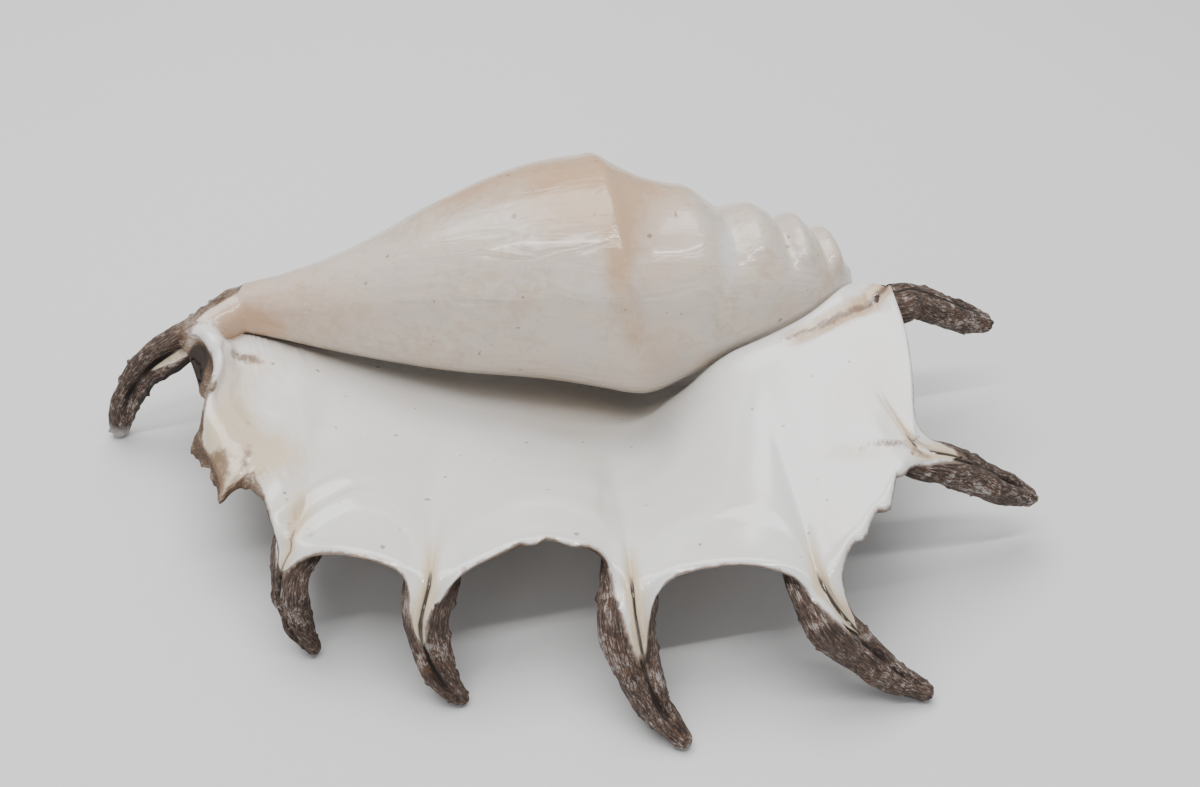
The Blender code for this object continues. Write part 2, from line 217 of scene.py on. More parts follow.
def section_corners(u):
    """Corners of the comma-shaped section at each margin parameter u, as stations x corners x 3.

    The lip is the straight run from the valley to the edge, bent up by an eased step and the roll's bell.
    The mouth's floor and roof, the body and the back are angles round the axis, each with its radius.
    """
    margin = np.array(MARGIN, float)
    x = through(np.arange(len(margin)), margin[:, 0], u)
    edge = through(np.arange(len(margin)), margin[:, 1:], u)
    rolls = np.array([ROLL_HEIGHT, ROLL_AT, ROLL_WIDTH, ROLL_FOOT]).T
    roll, roll_at, roll_width, roll_foot = through(ROLL_SPAN, rolls, np.minimum(u, ROLL_SPAN[-1])).T
    bow = through(BOW_SPAN, BOW, np.minimum(u, BOW_SPAN[-1]))
    axis = {"x": x, "y": eased(AXIS_X, AXIS_Y, x, AXIS_EASE), "z": eased(AXIS_X, AXIS_Z, x, AXIS_EASE)}
    valley_angle = eased(MOUTH_X, VALLEY_ANGLE, x, MOUTH_EASE)
    depth = eased(MOUTH_X, MOUTH_DEPTH, x, MOUTH_EASE)
    shoulder = SHOULDER_TURN * bell(x, SHOULDER_LENGTH, SHOULDER_X)

    def girth(angle):
        turn = np.minimum(angle, SHOULDER_END) - SHOULDER_FROM
        low = 1 - ramp(*LOW_SIDE, angle)
        radius = eased(BODY_X, BODY_RADIUS, x + shoulder * turn, BODY_EASE + LOW_EASE * low)
        return radius + LOW_SWELL * low * bell(x, LOW_SWELL_LENGTH)

    radius = girth(valley_angle)
    gap = eased(MOUTH_X, MOUTH_GAP, x, MOUTH_EASE) * radius

    def floor(share):
        return around_axis(axis, valley_angle - share * depth, radius + gap * (1 - GAP_CLOSES * share))

    def roof(share):
        closed = radius * (1 - ROOF_CLOSES * share) - ROOF_DROP * share
        return around_axis(axis, valley_angle - share * depth, closed)

    valley = floor(0.0)
    run = edge - valley
    reach = np.linalg.norm(run[:, :2], axis=1, keepdims=True)
    across = np.concatenate([run[:, :2] / reach, 0 * reach], axis=1)
    up = np.array([0.0, 0.0, 1.0])
    size = np.clip(reach / FULL_REACH, SMALLEST_WALL, 1)
    wall = np.minimum(WALL * size, radius[:, None] / 3)
    rim = RIM_HALF * size
    rim_out = across * rim * RIM_OUT
    rim_up = up * rim * RIM_UP

    def lip(share):
        smooth = share * share * (3 - 2 * share)
        crest = bell(share, roll_width, roll_at)
        point = valley + run * share
        point[:, 0] += bow * np.sin(np.pi * share)
        rise = LIP_STRAIGHT * share + (1 - LIP_STRAIGHT) * smooth
        point[:, 2] = valley[:, 2] + run[:, 2] * rise + roll * crest
        return point

    def under_lip(share):
        along = lip(min(share + UNDER_STEP, 1.0)) - lip(max(share - UNDER_STEP, 0.0))
        slope = along[:, 2:] / np.linalg.norm(along, axis=1, keepdims=True)
        down = across * slope - up * np.sqrt(np.maximum(1 - slope**2, 0.1))
        return lip(share) + down * (wall + (2 * rim - wall) * share**1.5)

    edge = edge - up * (roll * roll_foot)[:, None]
    corners = [edge, edge - rim_out + rim_up]
    corners += [lip(share) + rim_up * share for share in LIP_SHARES]
    corners += [valley, floor(0.35), floor(0.7)]
    corners.append(around_axis(axis, valley_angle - depth, radius * MOUTH_END + gap * 0.1))
    corners += [roof(0.7), roof(0.35)]
    for share in FRONT_SHARES:
        angle = valley_angle + FRONT_START + (FRONT_END - valley_angle - FRONT_START) * share
        corners.append(around_axis(axis, angle, girth(angle)))

    before_spire = bell(np.maximum(x - GROWTH_X, 0), GROWTH_LENGTH)
    growth = BACK_GROWTH * before_spire * ramp(*BACK_TAPER, x)
    hollow = np.clip((depth - MOUTH_SHALLOW) / MOUTH_DEEP, 0, 1)
    for angle, share in BACK_SHARES.items():
        out = girth(angle) * (1 + growth * share)
        if angle > UNDER_BODY:
            over_mouth = radius + gap * (0.35 + 0.5 * (share > 0.7)) + wall[:, 0] * 0.85
            out = np.maximum(out, hollow * over_mouth)
        for knob_x, knob_angle, height, knob_reach in KNOBS:
            away = (out * np.radians(angle - knob_angle)) ** 2 + (x - knob_x) ** 2
            out = out + height * np.exp(-away / knob_reach**2)
        corners.append(around_axis(axis, np.full_like(x, angle), out))
    under_valley = radius + 1 + hollow * (gap * 0.88 + wall[:, 0] * 1.05 - 1)
    corners.append(around_axis(axis, valley_angle - 27 + 12 * hollow, under_valley))
    corners += [under_lip(share) for share in (0.0,) + LIP_SHARES[::-1]]
    corners.append(edge - rim_out - rim_up)
    return np.stack(corners, axis=1)


def closed_curves(corners, counts):
    """Smooth closed curves through each row of corners: cubic spans, the j-th with counts[j] samples."""
    after = np.roll(corners, -1, axis=1)
    chord = np.linalg.norm(after - corners, axis=2, keepdims=True) + 1e-6
    chord_before = np.roll(chord, 1, axis=1)
    step = (after - corners) / chord
    slope = (step * chord_before + np.roll(step, 1, axis=1) * chord) / (chord + chord_before)
    j = np.repeat(np.arange(len(counts)), counts)
    k = (j + 1) % len(counts)
    f = np.concatenate([np.arange(count) / count for count in counts])[None, :, None]
    f2, f3 = f * f, f * f * f
    start = (2 * f3 - 3 * f2 + 1) * corners[:, j] + (f3 - 2 * f2 + f) * chord[:, j] * slope[:, j]
    return start + (3 * f2 - 2 * f3) * corners[:, k] + (f3 - f2) * chord[:, j] * slope[:, k]


def along_corners(values, counts):
    """Values given at the corners of a section, read in straight lines at its samples."""
    j = np.repeat(np.arange(len(counts)), counts)
    f = np.concatenate([np.arange(count) / count for count in counts])
    values = np.asarray(values, float)
    return values[j] * (1 - f) + values[(j + 1) % len(counts)] * f


def grid_normals(grid):
    """Unit normals of a grid that closes round its second axis: its way round times its way along."""
    along = np.gradient(grid, axis=0)
    around = np.roll(grid, -1, axis=1) - np.roll(grid, 1, axis=1)
    normals = np.cross(around, along)
    return normals / (np.linalg.norm(normals, axis=2, keepdims=True) + 1e-9)


def grid_mesh(name, grids):
    """One mesh of closed grids (rings x points x 3, in mm) with flat ends."""
    faces, start = [], 0
    for grid in grids:
        rings, around = grid.shape[:2]
        first = start + np.arange(rings - 1)[:, None] * around + np.arange(around)[None]
        second = start + np.arange(rings - 1)[:, None] * around + (np.arange(around)[None] + 1) % around
        faces += np.stack([first, second, second + around, first + around], axis=-1).reshape(-1, 4).tolist()
        faces.append(list(range(start + around - 1, start - 1, -1)))
        faces.append(list(range(start + (rings - 1) * around, start + rings * around)))
        start += rings * around
    mesh = bpy.data.meshes.new(name)
    mesh.from_pydata((np.concatenate([grid.reshape(-1, 3) for grid in grids]) * MM).tolist(), [], faces)
    tidy = bmesh.new()
    tidy.from_mesh(mesh)
    bmesh.ops.recalc_face_normals(tidy, faces=tidy.faces)
    tidy.to_mesh(mesh)
    tidy.free()
    piece = bpy.data.objects.new(name, mesh)
    bpy.context.scene.collection.objects.link(piece)
    return piece


def mesh_places(mesh):
    """Vertex positions of a mesh as Blender stores them, in metres."""
    places = np.empty(len(mesh.vertices) * 3, dtype=np.float32)
    mesh.vertices.foreach_get("co", places)
    return places.reshape(-1, 3)


def spots(places, table):
    """Sum of soft spots: each is its middle, its three reaches and its strength, all in mm but the last."""
    total = np.zeros(places.shape[:-1])
    for middle, reach, strength in table:
        total += strength * np.exp(-(((places - np.array(middle)) / np.array(reach)) ** 2).sum(axis=-1))
    return total


# The sections stand closer together at the front scroll and at each spine.
spans = len(MARGIN) - 1
even = np.linspace(0, spans, 4001)
density = 1 + SCROLL_FINER[0] * np.exp(-((even / SCROLL_FINER[1]) ** 4))
for p in SPINE_POINTS:
    density += sum(more * bell(even, half, p) for more, half in SPINE_FINER)
density = np.cumsum(density) / density.sum()
stations = np.interp(np.linspace(density[0], 1, STATIONS), density, even)
stations[0], stations[-1] = 0, spans
counts = TOP_SAMPLES + BACK_SAMPLES
wall = closed_curves(section_corners(stations), counts)
starts = np.concatenate([[0], np.cumsum(counts)])
VALLEY_SAMPLE = starts[VALLEY_CORNER]
BACK_SAMPLE = starts[BACK_CORNER]

# Spines and siphon spout: hollow fingers of the lip, bark-brown and fibrous outside, with a tongue of
# the lip's glaze running down both sides of an open slit. Each is a ring carried along a curved course.

# Each spine by its margin point: the way its slit faces, and its free course as x, y, z, half width and
# half depth.
SPINES = {
    6: ((-0.65, -0.55, 0.5), (
        (-90, -78.5, 28, 6.2, 5.2), (-90, -80, 19, 5.2, 4.8), (-88.5, -82, 10, 4.2, 4.0),
        (-84, -84, 1.8, 2.2, 2.2))),
    9: ((-0.3, -0.75, 0.65), (
        (-49.5, -92, 28, 6.8, 5.8), (-48.5, -95, 18.5, 6, 5.4), (-45.5, -98.5, 9.5, 4.8, 4.6),
        (-38.7, -102.5, 1.8, 2.2, 2.2))),
    13: ((0.4, -0.7, 0.6), (
        (7.5, -95, 28.5, 8.6, 6.4), (10.5, -101.5, 17.5, 7, 6.2), (15.5, -109, 8.5, 5.2, 5.2),
        (25, -118.5, 2.4, 2.3, 2.3))),
    17: ((0.6, -0.35, 0.75), (
        (64, -93, 28.5, 8.2, 6.4), (73.5, -95.5, 17.5, 6.2, 6), (84, -97.8, 8.5, 5, 5),
        (96.5, -100.3, 2.6, 2.3, 2.3))),
    21: ((0.0, -0.2, 1.0), (
        (103, -41.5, 39, 6.6, 5.8), (115, -39, 31, 6, 5.8), (127, -36.5, 22.5, 5, 4.8),
        (137, -34, 16, 2.6, 2.6))),
    25: ((0.0, -0.2, 1.0), (
        (101, 22, 51, 6, 5.2), (111.5, 24.5, 45, 5.6, 5.2), (121.5, 27.5, 39, 5, 4.8),
        (130.5, 30, 34.5, 3.4, 3.2))),
}

# A spine's root inside the lip: share of the way to the edge, depth below the wall's middle, half width and
# half depth. Then how much lower each spine's whole root lies.
SPINE_ROOT = (
    (0.27, 0.3, 3, 1.2), (0.44, 1.5, 5, 2.6), (0.62, 2.2, 6.5, 3.6),
    (0.8, 2.8, 8, 4.4), (0.93, 3.2, 8.5, 5.0),
)
SPINE_DROP = {6: 1.8, 9: 0.5, 13: 0.5, 17: 0.5, 21: 0.8, 25: 4.0}
SPOUT_SEAM = (0.25, -0.85, 0.45)
SPOUT = (
    (-98, 32, 43.5, 7.5, 7.5), (-110, 31.5, 42.8, 7.8, 7.8), (-119, 28.5, 42, 8.0, 8.0),
    (-126, 22.5, 41.3, 7, 7.2), (-132, 17.5, 40, 6.4, 6.6), (-139, 13.5, 37.5, 6.2, 6.2),
    (-148, 11.5, 31.5, 6, 6), (-155, 11, 23, 5.2, 5), (-160, 11.5, 13, 4.3, 4.2),
    (-163.5, 12, 1.2, 3.2, 3.2),
)

# Points of a ring, in degrees from the seam, closest together at the slit.
HALF_TURN = (
    1.2, 2.6, 4.2, 6, 8.5, 11.5, 15, 19, 24, 30, 37, 45,
    54, 63, 72, 82, 92, 102, 112, 122, 132, 142, 152, 161, 170,
)
ROUND_TIP = 2.4
TONGUE_HALF = 6.0
SLIT_WIDTH = 0.75
UPRIGHT_UNTIL = 12.0
INSIDE_LIP = 4
RIBBON_HALF = 4.6
RIBBON_LENGTH = 30
SLEEVE = 38.0
SPOUT_ROOT = 22.0
OPEN_SLIT = (1.8, 0.9, 2.6)
CLOSED_SLIT = (0.3, 0.4, 3.0)
SPOUT_SLIT = (2.6, 2.2, 3.0)
NO_TONGUE = (0.1, 1.0)


def course_length(course):
    """Length along a course of points, in mm, at each of them."""
    course = np.array(course, float)
    return np.concatenate([[0], np.cumsum(np.linalg.norm(np.diff(course[:, :3], axis=0), axis=1))])


def course_frame(course, seam_side, at, root_length=0.0):
    """Middle, half width, half depth, seam direction and side direction of a spine at lengths along it.

    The seam of a root faces straight up, and it turns to its own side over the first free stretch.
    """
    course_at = through(course_length(course), np.array(course, float), at)
    middle = course_at[:, :3]
    ahead = np.gradient(middle, at, axis=0)
    ahead /= np.linalg.norm(ahead, axis=1, keepdims=True)
    turned = ramp(root_length - 4, root_length + UPRIGHT_UNTIL, at)[:, None] if root_length else 1.0
    seam = (1 - turned) * np.array([0.0, 0.0, 1.0]) + turned * np.array(seam_side, float)
    seam = seam - (ahead * seam).sum(axis=1, keepdims=True) * ahead
    seam /= np.linalg.norm(seam, axis=1, keepdims=True)
    return middle, course_at[:, 3], course_at[:, 4], seam, np.cross(ahead, seam)


def rooted(p):
    """A spine's course with its root inside the lip, in the middle of the wall below margin point p."""
    corners = section_corners(np.array([float(p)]))[0]
    root = []
    for share, below, half_width, half_depth in SPINE_ROOT:
        k = LIP_SHARES.index(share)
        centre = (corners[2 + k] + corners[-2 - k]) / 2
        root.append((centre[0], centre[1], centre[2] - below - SPINE_DROP[p], half_width, half_depth))
    return tuple(root) + SPINES[p][1]


# The lip's glaze runs out along the seam of each spine as a pointed tongue that thins away from the
# seam: its reach is an exponential of the distance to the seam, a little less in the slit itself. Each pull
# is the tongue's reach at the seam and the distance over which it falls off.
PULLS = {6: (9, 3.0), 9: (20, 3.1), 13: (28, 3.4), 17: (25, 3.4), 21: (20, 3.2)}
PULL_BAND = 18.0
TONGUE_RISE = -0.3
ONTO_CREST = 9.0
BESIDE_SPINE = 2.5
spine_lines = closed_curves(section_corners(np.array(SPINE_POINTS, float)), counts)


def measured(wall):
    """Lengths in mm round each section from its margin, and the shorter way back to the margin."""
    steps = np.linalg.norm(np.roll(wall, -1, axis=1) - wall, axis=2)
    along = np.concatenate([np.zeros((len(wall), 1)), np.cumsum(steps, axis=1)[:, :-1]], axis=1)
    return along, np.minimum(along, steps.sum(axis=1)[:, None] - along)


def stretched(wall, inward, u):
    """The wall with its margin drawn out along the crest of each spine, and how far out each point went.

    Points of the glazed side slide along their section's line and then along the crest that continues it.
    """
    moved = wall.copy()
    pulled = np.zeros(u.shape)
    glazed = np.arange(wall.shape[1]) <= VALLEY_SAMPLE
    for p, line in zip(SPINE_POINTS, spine_lines):
        if p not in PULLS:
            continue
        reach, fall = PULLS[p]
        course = rooted(p)
        at = np.linspace(0, course_length(course)[-1], 400)
        root_length = course_length(course)[len(SPINE_ROOT) - 1]
        middle, half_width, half_depth, seam, side = course_frame(course, SPINES[p][0], at, root_length)
        crest = middle + seam * half_depth[:, None]
        first = np.argmin(np.linalg.norm(crest - line[0], axis=1))
        along_crest = at[first:] - at[first]
        away = np.linalg.norm(wall - line[None], axis=2)
        open_middle = 1 - 0.22 * bell(away, 0.7)
        out = reach * np.exp(-away / fall) * open_middle * np.clip(1 - inward / PULL_BAND, 0, 1) ** 2
        out = np.where(np.abs(u - p) < BESIDE_SPINE, out, 0)
        onto = crest[first:] + (1 - ramp(0, ONTO_CREST, along_crest))[:, None] * (line[0] - crest[first])
        line_depth = measured(line[None])[1][0]
        way = np.concatenate([-line_depth[glazed][::-1], along_crest[1:]])
        points = np.concatenate([line[glazed][::-1], onto[1:]])
        reached = out - line_depth * glazed
        path = np.stack([np.interp(reached, way, points[:, k]) for k in range(3)], -1)
        past = np.maximum(reached, 0)
        facing = np.stack([np.interp(past, along_crest, seam[first:, k]) for k in range(3)], -1)
        width = np.interp(past, along_crest, half_width[first:])
        depth = np.interp(past, along_crest, half_depth[first:])
        drop = 0.85 * depth * (1 - np.sqrt(1 - np.clip(away / width, 0, 0.85) ** 2)) - TONGUE_RISE
        lowered = facing * (drop * np.clip(past / 5, 0, 1))[..., None]
        moved += path - np.where(glazed[:, None], line, line[0]) - lowered
        pulled = np.maximum(pulled, out)
    return moved, pulled


u = np.broadcast_to(stations[:, None], wall.shape[:2])
beside = {p: np.linalg.norm(wall - line[None], axis=2) for p, line in zip(SPINE_POINTS, spine_lines)}
depth_in = measured(wall)[1]
wall, pulled = stretched(wall, depth_in, u)
along, inward = measured(wall)
from_valley = np.abs(along - along[:, VALLEY_SAMPLE, None])
to_back = along[:, BACK_SAMPLE, None] - along

# Where each sample of a section lies, as shares at its corners.
on_lip = along_corners((0.5, 1) + (1,) * 7 + (0,) * 26, counts)[None]
on_tongue = along_corners((1,) * 9 + (0,) * 26, counts)[None]
on_body = along_corners((0,) * 12 + (0.6, 1) + (1,) * 7 + (0.6, 0) + (0,) * 12, counts)[None]
off_mouth = 1 - along_corners((0,) * 9 + (1,) * 6 + (0,) * 20, counts)[None]

# Length along the margin, in mm, at each section.
margin_step = np.linalg.norm(np.diff(np.array(MARGIN, float)[:, 1:], axis=0), axis=1)
mm_along = np.interp(stations, np.arange(len(MARGIN)), np.concatenate([[0], np.cumsum(margin_step)]))
run = np.broadcast_to(mm_along[:, None], wall.shape[:2])

# Grooves run into the lip from each spine, between low ridges, and arcs of an older edge join them.
GROOVE_DEPTH = {6: 0.7, 9: 1.3, 13: 1.4, 17: 1.4, 21: 1.2, 25: 0}
GROOVE_WIDTH = 0.55
GROOVE_SPREAD = 0.9
GROOVE_LENGTH = 30
RIDGE_HEIGHT = {6: 0.4, 9: 0.9, 13: 0.7, 17: 0.35, 21: 0.1, 25: 0}
RIDGE_AT = 3.4
RIDGE_WIDTH = 2.0
RIDGE_LENGTH = 40
STREAK_WIDTH = 3.4
BARK_REACH = 16
push = np.zeros(wall.shape[:2])
slit_shade = np.zeros(wall.shape[:2])
valley_mark = np.zeros(wall.shape[:2])
near_spine = np.zeros(wall.shape[:2])
for p, away in beside.items():
    width = GROOVE_WIDTH + GROOVE_SPREAD * ramp(8, GROOVE_LENGTH, depth_in)
    cut = bell(away, width) * (1 - ramp(6, GROOVE_LENGTH, depth_in)) * on_lip
    ridge = bell(away, RIDGE_WIDTH, RIDGE_AT)
    ridge = ridge * (1 - ramp(4, RIDGE_LENGTH, depth_in)) * on_lip
    push += RIDGE_HEIGHT[p] * ridge * ramp(0, 6, depth_in) - GROOVE_DEPTH[p] * cut
    # Painted shade: each slit in the tongues gets a dark line painted along it.
    open_line = bell(away, GROOVE_WIDTH) * (1 - ramp(7, 13, depth_in)) * on_tongue
    slit_shade = np.maximum(slit_shade, open_line * min(GROOVE_DEPTH[p], 1))
    streak = bell(away, STREAK_WIDTH) * (1 - ramp(6, 32, depth_in)) * min(GROOVE_DEPTH[p], 1)
    valley_mark = np.maximum(valley_mark, streak * on_lip)
    near_spine = np.maximum(near_spine, bell(away, BARK_REACH))

ARC_RISE = 21
ARC_FOOT = 3
ARC_STEP = 0.7
ARC_SOFT = 3.5
ARC_ENDS = 0.16
for first, last in ((6, 9), (9, 13), (13, 17)):
    between = np.clip((u - first) / (last - first), 0, 1)
    arc = ARC_FOOT + ARC_RISE * np.sin(np.pi * between) ** 0.6
    inside = (u > first) & (u < last)
    step_down = ARC_STEP * inside * ramp(0, ARC_SOFT, arc - depth_in)
    push -= step_down * ramp(0, ARC_ENDS, between) * ramp(0, ARC_ENDS, 1 - between) * on_lip

# The front scroll's ragged crust has a width that changes along the margin, and a hollow beside the spout.
RAGGED_SPAN = (0, 1, 2, 2.6, 3, 3.6, 4.2, 5, 6)
RAGGED_WIDTH = (5, 12, 10, 4.5, 2.6, 3.4, 3.6, 2.0, 0)
HOLLOW_AT = (-130.5, 2.0, 41.0)
HOLLOW_REACH = (4.6, 8.0, 12.0)
HOLLOW_DEPTH = 2.4

# The whorls show as folds that cross the body aslant: the place of each where it meets the outline,
# its slant in mm per degree round the body, its height and its half width.
FOLDS = (
    (-3.5, 0.13, 0.9, 3.4), (26.5, 0.10, 1.7, 4.6), (37.8, 0.09, -1.3, 2.4), (47.5, 0.08, 1.9, 4.8),
    (56.8, 0.065, -2.0, 1.8), (62, 0.065, 2.3, 3.2), (68.8, 0.07, -1.3, 1.3), (72.6, 0.07, 2.0, 2.5),
)
FOLD_OUTLINE = 126
on_axis = np.clip(wall[..., 0], AXIS_X[0], AXIS_X[-1]).ravel()
axis_y = eased(AXIS_X, AXIS_Y, on_axis, AXIS_EASE).reshape(u.shape)
axis_z = eased(AXIS_X, AXIS_Z, on_axis, AXIS_EASE).reshape(u.shape)
body_angle = np.degrees(np.arctan2(wall[..., 2] - axis_z, axis_y - wall[..., 1]))
body_angle = np.where(body_angle < -90, body_angle + 360, body_angle)
for fold_x, slant, height, half in FOLDS:
    slanted = wall[..., 0] - slant * (FOLD_OUTLINE - np.clip(body_angle, 20, 200))
    if fold_x > 0:
        fade = ramp(38, 80, body_angle) * (1 - ramp(190, 225, body_angle))
    else:
        fade = ramp(0, 40, body_angle)
    push += height * bell(slanted, half, fold_x) * fade * on_body

# Creases of the surface, seen from above: where the last whorl meets the lip on the way to its corner,
# and beside the front scroll's fold.
CORNER_CREASE = ((92.5, 19.5), (85.5, 12), (77, 8.5), (68, 5), (60, 3), (51, 2))
CORNER_HALF = 2.1
CORNER_DEPTH = 1.3
FOLD_CREASE = ((-91, -66), (-85, -57), (-77, -50), (-69, -46))
FOLD_HALF = 1.8
FOLD_DEPTH = 1.0
FOLD_RIDGE = 1.2
FOLD_RIDGE_AT = 4.5
FOLD_RIDGE_HALF = 2.6


def from_crease(crease):
    """Distance in plan of every wall point from a crease, and how far along it is from 0 to 1."""
    points = np.array(crease, float)
    nearest, along_it = np.full(u.shape, 1e9), np.zeros(u.shape)
    for k in range(len(points) - 1):
        step = points[k + 1] - points[k]
        part = np.clip(((wall[..., :2] - points[k]) @ step) / (step @ step), 0, 1)
        away = np.linalg.norm(wall[..., :2] - points[k] - part[..., None] * step, axis=2)
        along_it = np.where(away < nearest, (k + part) / (len(points) - 1), along_it)
        nearest = np.minimum(nearest, away)
    return nearest, along_it


corner_away, corner_share = from_crease(CORNER_CREASE)
fold_away, fold_share = from_crease(FOLD_CREASE)
on_top = np.clip(on_lip + (to_back > 0), 0, 1)
corner_line = bell(corner_away, CORNER_HALF) * (1 - ramp(0.75, 1, corner_share)) * on_top
fold_line = bell(fold_away, FOLD_HALF) * (1 - ramp(0.6, 1, fold_share)) * on_lip
fold_ridge = bell(fold_away, FOLD_RIDGE_HALF, FOLD_RIDGE_AT) * (1 - ramp(0.6, 1, fold_share)) * on_lip
push -= CORNER_DEPTH * corner_line + FOLD_DEPTH * fold_line
push += FOLD_RIDGE * fold_ridge

# Slow swells of the glaze, the wrinkles and the roll's crest and dip at the front scroll, its ragged crust
# and black hollow, and a rougher back.
SLOW_SWELL = 0.5
WRINKLE_HEIGHT = 1.2
CRUST_HEIGHT = 0.9
ROLL_BAND = 1.3
ROLL_CREST = (3.4, 13)
ROLL_DIP = (3.2, 20)
push += SLOW_SWELL * (lumps(3, wall, 13) - 0.5) * off_mouth
scroll = (1 - ramp(4.4, 5.6, u)) * on_lip
wrinkle = lattice_noise(5, u * 3.6, depth_in / 22) - 0.5
wrinkle = wrinkle + 0.35 * (lattice_noise(6, u * 9.0, depth_in / 12) - 0.5)
push += WRINKLE_HEIGHT * scroll * wrinkle * ramp(1.4, 2.2, u) * (1 - ramp(6, 26, depth_in))
push += 0.5 * scroll * (lattice_noise(5, u * 2.4, depth_in / 3.2) - 0.5) * ramp(0, 8, depth_in)
rough_back = (1 - ramp(-4, 4, to_back)) * (to_back < 0)
ragged = through(RAGGED_SPAN, RAGGED_WIDTH, np.minimum(stations, RAGGED_SPAN[-1]))[:, None]
ragged = ragged * (0.5 + lattice_noise(17, u * 3.1, depth_in / 9))
in_crust = on_lip * (1 - ramp(-1, 1, depth_in - ragged)) * (ragged > 0.3)
crust = lumps(7, wall, 3.1) + 0.5 * lumps(8, wall, 1.6)
push += CRUST_HEIGHT * (crust - 0.75) * np.maximum(rough_back * ramp(0, 3, inward), in_crust)
band = bell(depth_in, *ROLL_CREST) - 0.8 * bell(depth_in, *ROLL_DIP)
push += ROLL_BAND * band * on_lip * (1 - ramp(2.0, 3.0, u))
hollow = np.exp(-((((wall - np.array(HOLLOW_AT)) / np.array(HOLLOW_REACH)) ** 2).sum(axis=-1) ** 2))
push -= HOLLOW_DEPTH * hollow * on_lip
wall = wall - grid_normals(wall) * push[..., None]

# The edge is chipped over three stretches: from, to and depth. Teeth and notches stand at the scroll and
# at the right of the lip: place, height (a notch has a minus) and half width.
CHIPS = ((10.2, 12.8, 2.2), (18.0, 21.0, 2.3), (0.4, 5.4, 1.8))
TEETH = (
    (0.62, 2.5, 0.25), (1.05, 1.6, 0.12), (1.3, -2.2, 0.16), (1.85, 2.2, 0.26), (2.2, -0.9, 0.07),
    (2.34, 1.0, 0.07), (2.5, -1.5, 0.1), (2.66, 0.4, 0.07), (2.8, -1.0, 0.08), (3.02, 4.6, 0.13),
    (3.4, -1.8, 0.2), (3.75, 0.8, 0.07), (3.9, -0.6, 0.06), (4.25, 1.2, 0.12), (4.6, -1.0, 0.15),
    (18.05, -1.2, 0.25), (18.42, 1.4, 0.16), (18.8, -2.0, 0.22), (19.2, 1.8, 0.16), (19.7, -1.5, 0.25),
)
EDGE_BAND = 3.5
edge_way = wall[:, VALLEY_SAMPLE, :2] - wall[:, 0, :2]
edge_way /= np.linalg.norm(edge_way, axis=1, keepdims=True)
bite = 0.35 * lattice_noise(11, mm_along / 3.0)
bite = bite - sum(size * bell(stations, half, at) for at, size, half in TEETH)
broken = ramp(0.35, 0.75, lattice_noise(12, mm_along / 3.6) * 0.7 + lattice_noise(13, mm_along / 1.4) * 0.3)
for first, last, depth in CHIPS:
    stretch = ramp(first, first + 0.5, stations) * (1 - ramp(last - 0.5, last, stations))
    bite = bite + depth * stretch * broken
wall[..., :2] += edge_way[:, None] * (bite[:, None] * bell(depth_in, EDGE_BAND))[..., None]

# Stains and tints of the glaze, as soft spots: middle, reaches and strength.
BROWN = (
    ((-114, 8.8, 41), (8, 4, 10), 1.1), ((-121, -13, 40), (3.5, 6, 9), 0.6),
    ((-117, -39, 37), (6, 4, 9), 1.0), ((-113.5, -45, 37), (3, 7, 9), 1.0),
    ((-109.5, -24, 40), (1.5, 8, 8), 0.5), ((-81, -45, 41), (4, 1.5, 6), 0.7),
    ((-104, -50, 37), (6, 4, 8), 0.7), ((-107, -40, 38), (2.5, 7, 8), 0.9),
    ((-99, -45, 38), (5, 3, 8), 0.5), ((89, -42, 49), (7, 2, 6), 0.9),
    ((96, -45.5, 50), (5, 1.6, 6), 0.9), ((-90, -66, 40), (2, 8, 8), 0.5),
    ((-84, -70, 40), (3, 4, 8), 0.6), ((78, -43, 48), (9, 3, 6), 0.6),
)
OCHRE = (
    ((-2, 40, 88), (16, 22, 14), 0.9), ((-30, 50, 86), (30, 20, 12), 0.75),
    ((6, 12, 78), (5, 16, 12), 1.0), ((10, -1, 58), (5, 8, 12), 0.8),
    ((-110, 22, 42.5), (18, 5, 5), 1.9), ((18, 35, 84), (16, 22, 12), 0.6),
    ((-50, 42, 78), (22, 14, 12), 0.5), ((-12, 18, 84), (14, 14, 12), 0.5),
    ((-122, 20, 42), (7, 6, 6), 1.0),
)
PINK = (
    ((18, -1, 48), (10, 10, 14), 0.9), ((20, 14, 78), (14, 18, 14), 0.8),
    ((-95, 20, 50), (26, 16, 14), 0.8), ((-120, 26, 48), (14, 12, 8), 0.9),
    ((-60, 10, 60), (25, 12, 14), 0.4),
)
WHITE = (
    ((41, 14, 76), (4, 22, 12), 0.9), ((50, 24, 76), (3, 12, 10), 0.5),
    ((26, 10, 78), (3, 18, 12), 0.4),
)
YELLOW = (
    ((3, -43, 44), (16, 5, 7), 0.9), ((18, -49, 44), (10, 4, 7), 0.6),
    ((-12, -36, 44), (12, 4, 7), 0.6), ((75, -45, 48), (14, 4, 7), 0.7),
    ((-113, -20, 43), (9, 28, 10), 0.9), ((-100, -38, 40), (16, 16, 10), 0.85),
    ((-88, -62, 40), (10, 10, 10), 0.6), ((-106, 6, 42), (12, 8, 8), 0.7),
    ((-116, -40, 38), (10, 12, 9), 0.8),
)
CRUST_FROM = -96
CRUST_ANGLE = 98
# Painted shade: a thin dark line in the crease where the last whorl meets the lip. Brown is added to the
# stains along that crease and along the crease beside the scroll's fold.
corner_groove_shade = bell(corner_away, 0.8) * (1 - ramp(0.45, 0.9, corner_share)) * on_lip
lip_bevel = bell(corner_away, 3.2, 2.2) * (1 - ramp(0.7, 1, corner_share)) * on_lip
end_crust = on_body * ramp(-6, 6, body_angle - CRUST_ANGLE)
end_crust = end_crust * (1 - ramp(CRUST_FROM - 8, CRUST_FROM, wall[..., 0]))
bark_by_spines = bell(inward, 9) * near_spine * (to_back < 0)
tongue_tint = ramp(1, 14, pulled)
